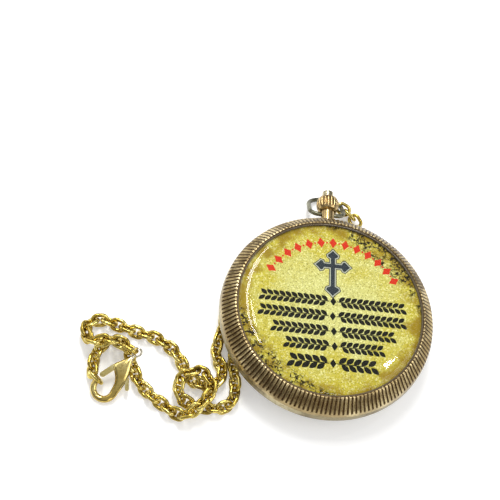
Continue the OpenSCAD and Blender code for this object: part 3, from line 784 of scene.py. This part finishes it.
def cut(piece: Piece, other: Piece, operation: str) -> None:
    """Joins or cuts a piece with another, which goes, and rounds its shading.

    Args:
        piece: The piece.
        other: The other form.
        operation: UNION or DIFFERENCE.
    """
    step = piece.modifiers.new(operation, "BOOLEAN")
    step.operation, step.solver, step.object = operation, "EXACT", other
    mesh = solved(piece)
    piece.modifiers.clear()
    piece.data = mesh
    bpy.data.objects.remove(other)
    mesh.shade_smooth()
    mesh.set_sharp_from_angle(angle=SHARP)


def turned(points: Sequence[Pair], degrees: float, at: Pair = (0, 0)) -> list[Pair]:
    """Turns an outline about the origin and moves it.

    Args:
        points: The outline.
        degrees: How far it turns.
        at: Where the origin goes.

    Returns:
        The new outline.
    """
    c, s = math.cos(math.radians(degrees)), math.sin(math.radians(degrees))
    return [(x * c - y * s + at[0], x * s + y * c + at[1]) for x, y in points]


def spot(radius: float, degrees: float) -> Pair:
    """Returns the point at a radius and a compass bearing."""
    return radius * math.sin(math.radians(degrees)), radius * math.cos(math.radians(degrees))


def lens(length: float, width: float, steps: int = 7) -> list[Pair]:
    """Draws a leaf with two pointed ends, from the origin along +Y.

    Args:
        length: Its length.
        width: Its width.
        steps: Points on each side.

    Returns:
        The outline.
    """
    side = [(width / 2 * math.sin(math.pi * i / steps) ** 0.8, length * i / steps) for i in range(1, steps)]
    return [(0, 0), *side, (0, length), *((-x, y) for x, y in reversed(side))]


@dataclass
class PrintedFace:
    """The print under the crystal: a budded cross with plain ornaments.

    Attributes:
        cross_at: The crossing's place.
        arms: Lengths of the upper, left, lower and right arm.
        buds: Sizes of their buds.
        arm_half: Half of an arm's width.
        bud: A bud's outline from its root, across and back from its tip, over its size.
        bud_root: How far back from its tip its root is, over its size.
        borders: How far the cross's dark line and its silver edge stand past its field.
        arc_r: Radius of the red arc.
        arc_span: Bearings of its ends.
        lozenges: How many lozenges it has, with a dot between each two.
        lozenge: Half width, half height and waist of one.
        dot_r: Radius of a dot.
        rows: Height, ends and leaf length of each row of leaves.
        leaf: Length, width and pitch of a leaf, over its row's leaf length.
        sides: The way from the stem, the lean and the setback, over the pitch, of both sides' leaves.
        stem: Half thickness of a row's stem.
        starts: Distances from a row's middle at which its stem and its first leaf start.
        bead: The mark in the middle of a row.
        layer: Thickness of one layer of ink.
    """

    cross_at: Pair = (0.42, 10.9)
    arms: tuple[float, ...] = (4.15, 4.25, 8.0, 4.25)
    buds: tuple[float, ...] = (1.0, 1.0, 1.2, 1.0)
    arm_half: float = 0.5
    bud: tuple[Pair, ...] = ((1.15, 1.75), (1.3, 1.3), (0.8, 0.85), (0.42, 0.5))
    bud_root: float = 2.1
    borders: Pair = (0.42, 0.25)
    arc_r: float = 17.2
    arc_span: Pair = (150.0, 30.0)
    lozenges: int = 13
    lozenge: Trio = (1.0, 1.45, 0.55)
    dot_r: float = 0.24
    rows: tuple[tuple[float, ...], ...] = (
        (1.5, -16.4, 17.6, 1.75), (-2.3, -16.8, 17.8, 1.75), (-6.1, -13.0, 14.6, 1.75),
        (-9.8, -10.2, 12.2, 1.75), (-14.0, -9.2, 10.6, 2.1))
    leaf: Trio = (1.12, 0.6, 0.82)
    sides: tuple[Trio, ...] = ((-1, 128, 0.35), (1, 52, 0.0))
    stem: float = 0.11
    starts: Pair = (0.9, 1.3)
    bead: tuple[Pair, ...] = ((0, -1.1), (0.75, 0), (0, 1.1), (-0.75, 0))
    layer: float = 0.006

    def build(self, shop: Workshop) -> None:
        """Makes and hangs the print's pieces.

        Args:
            shop: Where they are finished.
        """
        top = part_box("printed_disc")[1].z / MM
        line, edge = self.borders
        layers = ((Finish.BLACK, "cross_line", line), (Finish.SILVER, "cross_edge", edge),
                  (Finish.SLATE, "cross_field", 0.0))
        for level, (finish, name, grow) in enumerate(layers, 1):
            piece = flat(name, [self.cross()], (top, top + level * self.layer), grow)
            shop.settle(piece, finish, "lid")
        ink = (top, top + self.layer)
        shop.settle(flat("red_arc_ornament", self.arc(), ink), Finish.RED, "lid")
        shop.settle(flat("leaf_rows", self.leaves(), ink), Finish.BLACK, "lid")

    def cross(self) -> list[Pair]:
        """Draws the whole cross, one arm after another.

        Returns:
            Its outline.
        """
        points: list[Pair] = []
        half = self.arm_half
        for index, (length, size) in enumerate(zip(self.arms, self.buds)):
            side = [(half, length - self.bud_root * size)]
            side += [(x * size, length - y * size) for x, y in self.bud]
            arm = [(half, half), *side, (0, length), *((-x, y) for x, y in reversed(side))]
            points += turned(arm, 90 * index, self.cross_at)
        return points

    def arc(self) -> list[list[Pair]]:
        """Draws the red arc.

        Returns:
            The outlines of its lozenges and dots.
        """
        wide, tall, waist = self.lozenge
        lozenge = [(0, -tall), (waist, -waist), (wide, 0), (waist, waist), (0, tall), (-waist, waist),
                   (-wide, 0), (-waist, -waist)]
        dot = [spot(self.dot_r, 30 * index) for index in range(12)]
        start, end = self.arc_span
        last = 2 * self.lozenges - 2
        shapes = []
        for index in range(last + 1):
            bearing = start + (end - start) * index / last
            x, y = spot(self.arc_r, 90 - bearing)
            shape, turn = (dot, 0) if index % 2 else (lozenge, bearing - 90)
            shapes.append(turned(shape, turn, (self.cross_at[0] + x, y)))
        return shapes

    def leaves(self) -> list[list[Pair]]:
        """Draws the rows of leaves, each on a fine stem.

        Returns:
            Their outlines.
        """
        shapes = []
        long, wide, pitch_share = self.leaf
        gap, first = self.starts
        thick = self.stem
        for height, left, right, size in self.rows:
            middle, pitch = (left + right) / 2, size * pitch_share
            count = int((right - left) / 2 / pitch - 0.5)
            end = (count + 0.6) * pitch
            stem = ((end, 0), (end * 0.7, thick), (gap, thick), (gap, -thick), (end * 0.7, -thick))
            for side in (-1, 1):
                shapes.append([(middle + side * x, height + y) for x, y in stem])
                for index in range(count):
                    for way, lean, back in self.sides:
                        x = middle + side * (index * pitch + first) + back * pitch * side
                        at = (x, height + way * thick * 1.4)
                        shapes.append(turned(lens(size * long, size * wide), -side * lean, at))
            shapes.append(turned(self.bead, 0, (middle, height)))
        return shapes


@dataclass
class Works:
    """The compass inside: its card's marks, its needle and its pan.

    Attributes:
        ring_r: Outer and inner radius of the degree ring's long marks.
        short_r: Inner radius of the short marks.
        mark_half: Half the width of a long and of a short mark.
        number_r: Radius of the numbers.
        letter_r: Radius of the four letters.
        heights: Heights of the numbers, of the letters and of the north letter.
        rose: Tip, root, waist and the waist's lift, of the rose's long and of its short points.
        layer: Thickness of the ink.
    """

    ring_r: Pair = (18.2, 17.0)
    short_r: float = 17.5
    mark_half: Pair = (0.11, 0.07)
    number_r: float = 15.7
    letter_r: float = 12.9
    heights: Trio = (1.5, 2.5, 2.7)
    rose: tuple[tuple[float, ...], ...] = ((11.2, 0.6, 2.1, 0.0), (7.4, 3.2, 3.675, 0.78))
    layer: float = 0.02

    def build(self, shop: Workshop) -> None:
        """Makes the marks and dresses the works.

        Args:
            shop: Where they are finished.
        """
        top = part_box("dial")[1].z / MM
        ink = (top, top + self.layer)
        small, big, biggest = self.heights
        marks = [flat("degree_ring", self.ticks(), ink)]
        for degrees in range(0, 360, 30):
            at = spot(self.number_r, degrees)
            marks.append(lettered("number", str(degrees), small, at, -degrees, ink))
        for degrees, letter in ((90, "E"), (180, "S"), (270, "W")):
            marks.append(lettered("letter", letter, big, spot(self.letter_r, degrees), 0, ink))
        marks.append(flat("rose_dark", self.star(1), ink))
        form = bmesh.new()
        for mark in marks:
            form.from_mesh(mark.data)
            bpy.data.objects.remove(mark)
        dark = shaped("dial_marks", form)
        north = lettered("dial_north", "N", biggest, (0, self.letter_r), 0, ink)
        light = flat("rose_light", self.star(-1), ink)
        for piece, finish in ((dark, Finish.BLACK), (north, Finish.RED), (light, Finish.SILVER)):
            shop.settle(piece, finish, "case")
        shop.dress(Finish.CARD, "dial")
        shop.dress(Finish.NEEDLE, "needle")
        shop.dress(Finish.JEWEL, "needle_jewel")
        shop.dress(Finish.BRIGHT, "needle_hub", "compass_pan", "pivot_post", "glass_ring")
        shop.dress(Finish.STEEL, "pivot_pin", "catch_lever", "catch_screw", "hinge_pin")
        shop.dress(Finish.PANE, "dial_glass")

    def ticks(self) -> list[list[Pair]]:
        """Draws the degree ring, with a mark each five degrees.

        Returns:
            The marks' outlines.
        """
        outer, inner = self.ring_r
        shapes = []
        for index in range(72):
            start = self.short_r if index % 2 else inner
            half = self.mark_half[index % 2]
            shapes.append(turned([(-half, start), (half, start), (half, outer), (-half, outer)], index * 5))
        return shapes

    def star(self, side: int) -> list[list[Pair]]:
        """Draws one half of each of the rose's points.

        Args:
            side: 1 for the dark halves and -1 for the light ones.

        Returns:
            Their outlines.
        """
        shapes = []
        for index in range(8):
            tip, root, waist, lift = self.rose[index % 2]
            x, y = spot(waist, 22.5)
            shapes.append(turned([(0, root), (side * x, y + lift), (0, tip)], -45 * index))
        return shapes


class Case:
    """The case, the lid, the crown and the bow."""

    def build(self, shop: Workshop) -> None:
        """Dresses the outer pieces.

        Args:
            shop: Where they are finished.
        """
        shop.dress(Finish.CASE, "case_bowl", "lid_shell")
        shop.dress(Finish.RIM, "bezel")
        shop.dress(Finish.LINER, "lid_liner")
        shop.dress(Finish.PARCHMENT, "printed_disc")
        shop.dress(Finish.CRYSTAL, "crystal")
        shop.dress(Finish.SEAL, "crystal_seal")
        shop.dress(Finish.CROWN, "pendant_neck", "crown_barrel")
        shop.dress(Finish.BUTTON, "push_button")
        shop.dress(Finish.NICKEL, "bow")
        shop.dress(Finish.STEEL, "button_stem", "button_spring")


@dataclass
class Chain:
    """The chain and its claw clasp: a crowned body that runs down into a round hook, and an eye.

    Attributes:
        axes: The clasp's own frame.
        ribs: Left and right edge, half thickness and fullness of the body's sections, neck first.
        hook_c: The hook's middle.
        hook_r: Radius of its middle line.
        reach: How far it stands outwards from that line, and inwards at its root and at its nose.
        bearings: Its first and last bearing.
        nose: Lengths and sizes of the sections of its nose.
        eye_wire: Radius of the eye and of its wire.
        slot: Lowest and highest place of the gate's slot, half its height and how far it is cut.
        wire: Half thickness and fullness of the hook.
        facets: Points round a section, round the eye's wire and round the eye.
    """

    axes: ClaspFrame = ClaspFrame()
    ribs: tuple[tuple[Pair, Pair, float, float], ...] = (
        ((0.56, 12.08), (1.1, 11.96), 0.26, 2.0), ((0.38, 11.62), (1.05, 11.48), 0.34, 2.0),
        ((0.02, 11.1), (1.04, 10.98), 0.52, 2.0), ((-0.72, 10.25), (1.34, 10.2), 0.78, 2.1),
        ((-1.5, 9.35), (1.66, 9.35), 1.0, 2.2), ((-2.1, 8.68), (1.9, 8.6), 1.1, 2.2),
        ((-2.36, 8.15), (2.06, 8.0), 1.14, 2.2), ((-2.12, 7.5), (2.16, 7.4), 1.15, 2.2),
        ((-1.48, 6.8), (2.22, 6.7), 1.13, 2.2), ((-0.84, 6.05), (2.24, 6.0), 1.1, 2.1),
        ((-0.34, 5.2), (2.2, 5.1), 1.05, 2.0), ((-0.06, 4.4), (2.1, 4.3), 0.97, 2.0),
        ((0.04, 3.6), (1.96, 3.55), 0.88, 2.0))
    hook_c: Pair = (-1.45, 2.5)
    hook_r: float = 2.5
    reach: Trio = (0.78, 1.05, 0.7)
    bearings: Pair = (5.0, -185.0)
    nose: tuple[Pair, ...] = ((0.6, 0.98), (0.95, 0.86), (1.12, 0.62), (1.2, 0.3))
    eye_wire: Pair = (1.0, 0.23)
    slot: tuple[float, float, float, float] = (4.2, 9.6, 0.5, 6.0)
    wire: Pair = (0.74, 2.0)
    facets: tuple[int, int, int] = (28, 16, 48)

    def sections(self) -> list[tuple[Vector, Vector, float, float]]:
        """Lays out the sections from the eye to the hook's nose.

        Returns:
            The middle, half width, half thickness and fullness of each.
        """
        found = [((Vector(left) + Vector(right)) / 2, (Vector(right) - Vector(left)) / 2, thick, full)
                 for left, right, thick, full in self.ribs]
        outer, root, tip = self.reach
        first, last = self.bearings
        steps = 26
        for index in range(steps + 1):
            share = index / steps
            turn = math.radians(first + (last - first) * share)
            way = Vector((math.cos(turn), math.sin(turn)))
            inner = tip + (root - tip) * (1 - share) ** 3
            middle = Vector(self.hook_c) + way * (self.hook_r + (outer - inner) / 2)
            found.append((middle, way * (outer + inner) / 2, *self.wire))
        middle, half, thick, full = found[-1]
        ahead = Vector((half.y, -half.x)).normalized()
        found += [(middle + ahead * far, half * size, thick * size, full) for far, size in self.nose]
        return found

    def ring(self, form: Form, middle: Vector, half: Vector, thick: float,
             full: float) -> list[bmesh.types.BMEdge]:
        """Adds one section's rounded outline.

        Args:
            form: The form.
            middle: The section's middle.
            half: Half its width, across.
            thick: Half its thickness.
            full: How square it is, 2 being an ellipse.

        Returns:
            Its edges.
        """
        verts = bmesh.ops.create_circle(form, segments=self.facets[0], radius=1)["verts"]
        for vert in verts:
            across, rise = (math.copysign(abs(part) ** (2 / full), part) for part in vert.co.xy)
            place = middle + half * across
            vert.co = self.axes.world(place.x, place.y, thick * rise) * MM
        return [edge for edge in form.edges if edge.verts[0] in verts and edge.verts[1] in verts]

    def shell(self) -> Form:
        """Lofts the body and the hook.

        Returns:
            One closed form.
        """
        form = bmesh.new()
        loops = [self.ring(form, *section) for section in self.sections()]
        for first, second in zip(loops, loops[1:]):
            bmesh.ops.bridge_loops(form, edges=first + second)
        bmesh.ops.holes_fill(form, edges=loops[0] + loops[-1], sides=0)
        bmesh.ops.recalc_face_normals(form, faces=form.faces)
        return form

    def eye(self) -> Form:
        """Spins the eye's ring.

        Returns:
            Its form.
        """
        form = bmesh.new()
        radius, wire = self.eye_wire
        small, large = self.facets[1:]
        verts = bmesh.ops.create_circle(form, segments=small, radius=wire)["verts"]
        bmesh.ops.rotate(form, verts=verts, cent=(0, 0, 0), matrix=Matrix.Rotation(math.pi / 2, 3, "X"))
        bmesh.ops.translate(form, verts=verts, vec=(radius, 0, 0))
        bmesh.ops.spin(form, geom=form.verts[:] + form.edges[:], cent=(0, 0, 0), axis=(0, 0, 1),
                       angle=math.tau, steps=large, use_merge=True)
        for vert in form.verts:
            place = Vector(self.axes.eye) + vert.co.xy
            vert.co = self.axes.world(place.x, place.y, vert.co.z) * MM
        bmesh.ops.recalc_face_normals(form, faces=form.faces)
        return form

    def cutter(self) -> Form:
        """Makes the block that opens the gate's slot.

        Returns:
            Its form.
        """
        form = bmesh.new()
        low, high, half, reach = self.slot
        for vert in bmesh.ops.create_cube(form, size=2)["verts"]:
            along = (low + high) / 2 + vert.co.y * (high - low) / 2
            vert.co = self.axes.world(vert.co.x * reach, along, vert.co.z * half) * MM
        return form

    def build(self, shop: Workshop) -> None:
        """Makes the clasp's shell in place of the plain one, and dresses the links and the rest.

        Args:
            shop: Where they are finished.
        """
        shell = shaped("clasp_shell", self.shell())
        for name, form, operation in (("eye", self.eye(), "UNION"), ("slot", self.cutter(), "DIFFERENCE")):
            cut(shell, shaped(name, form), operation)
        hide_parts("clasp_body")
        shop.settle(shell, Finish.SATIN, "case")
        links = [name for name in shop.nodes if name.startswith("chain_")]
        shop.dress(Finish.GOLD, "bow_links", "eye_link", "hook_link", *sorted(links))
        shop.dress(Finish.GATE, "clasp_gate")
        shop.dress(Finish.SATIN, "clasp_pin")
        shop.dress(Finish.STEEL, "clasp_spring")


@dataclass
class Studio:
    """The floor, the lamps and the camera.

    Attributes:
        lens_mm: Focal length on a sensor of sensor_mm.
        sensor_mm: The sensor's width.
        camera_at: The camera's place.
        right: The picture's right, in the frame.
        down: The picture's down.
        ahead: The view's direction.
        floor_side: Side of the floor, in metres.
        floor_tone: How pale it is.
        floor_glow: How much light it adds for the rays that show it.
        sky: The studio's light at the horizon, half way up and overhead.
        sky_fall: Heights between which it falls, from 0 at the horizon to 1 overhead.
        sky_rise: Heights between which it rises.
        lamps: Name, place, sides in metres and watts of each lamp.
    """

    lens_mm: float = 64.8
    sensor_mm: float = 36.0
    camera_at: Trio = (-40.75, -90.41, 197.73)
    right: Trio = (0.9887, 0.0523, 0.1403)
    down: Trio = (0.1131, -0.875, -0.4707)
    ahead: Trio = (0.0981, 0.4813, -0.8711)
    floor_side: float = 6.0
    floor_tone: float = 0.86
    floor_glow: float = 0.3
    sky: Trio = (0.82, 0.24, 0.7)
    sky_fall: Pair = (0.02, 0.25)
    sky_rise: Pair = (0.4, 0.8)
    lamps: tuple[tuple[str, Trio, Pair, float], ...] = (
        ("left_window", (-230, 180, 150), (0.42, 0.12), 0.3),
        ("crescent_pane", (-47, 146, 280), (0.055, 0.16), 0.6),
        ("glint_pane", (117, 81, 278), (0.01, 0.026), 0.04),
        ("right_box", (240, -70, 220), (0.24, 0.2), 0.32),
        ("front_fill", (60, -300, 120), (0.1, 0.1), 0.14))

    def build(self) -> None:
        """Makes the whole studio."""
        self.camera()
        self.floor()
        self.world()
        for name, at, size, power in self.lamps:
            self.lamp(name, at, size, power)
        bpy.context.scene.view_settings.view_transform = "Standard"

    def camera(self) -> None:
        """Sets the camera where the photograph was taken from."""
        data = bpy.data.cameras.new("camera")
        data.sensor_width, data.lens, data.clip_start = self.sensor_mm, self.lens_mm, 0.01
        camera = placed("camera", data)
        axes = Matrix((Vector(self.right), -Vector(self.down), -Vector(self.ahead))).transposed()
        camera.matrix_world = Matrix.Translation(Vector(self.camera_at) * MM) @ axes.to_4x4()
        bpy.context.scene.camera = camera

    def floor(self) -> None:
        """Lays a pale floor, white to rays that show it: straight, mirrored or through glass."""
        form = bmesh.new()
        bmesh.ops.create_grid(form, x_segments=1, y_segments=1, size=self.floor_side / 2)
        floor = shaped("floor", form)
        recipe = Recipe("pale_floor")
        plain = recipe.node("ShaderNodeBsdfDiffuse", inputs={"Color": (self.floor_tone,) * 3})
        path = recipe.node("ShaderNodeLightPath").node
        camera, mirrored, through = (Number(recipe, path.outputs["Is " + kind + " Ray"])
                                     for kind in ("Camera", "Glossy", "Transmission"))
        seen = camera.most(mirrored).most(through)
        glow = recipe.node("ShaderNodeEmission", inputs={"Strength": seen * self.floor_glow})
        both = recipe.node("ShaderNodeAddShader", inputs={0: plain, 1: glow})
        floor.data.materials.append(recipe.close(both))

    def world(self) -> None:
        """Fills the studio with soft light, pale at the horizon and overhead and darker between."""
        world = bpy.data.worlds.new("studio")
        bpy.context.scene.world = world
        recipe = Recipe(world.name, world)
        horizon, middle, overhead = self.sky
        height = recipe.z * MM
        fall = height.between(*self.sky_fall) * (horizon - middle)
        rise = height.between(*self.sky_rise) * (overhead - middle)
        recipe.close(recipe.node("ShaderNodeBackground", inputs={"Strength": horizon - fall + rise}))

    def lamp(self, name: str, at: Trio, size: Pair, power: float) -> None:
        """Hangs a soft lamp that points at the compass.

        Args:
            name: The lamp's name.
            at: Its place.
            size: Its sides, in metres.
            power: Its power, in watts.
        """
        data = bpy.data.lights.new(name, "AREA")
        data.shape, data.size, data.size_y, data.energy = "RECTANGLE", *size, power
        lamp = placed(name, data)
        lamp.location = Vector(at) * MM
        lamp.rotation_mode = "QUATERNION"
        lamp.rotation_quaternion = (-lamp.location).to_track_quat("-Z", "Y")


def main() -> None:
    """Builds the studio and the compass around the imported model."""
    logging.basicConfig(level=logging.INFO, format="%(name)s %(message)s")
    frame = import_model()
    Studio().build()
    shop = Workshop(frame["nodes"])
    for part in (Case(), PrintedFace(), Works(), Chain()):
        part.build(shop)
        LOG.info("built %s", type(part).__name__)


if __name__ == "__main__":
    main()
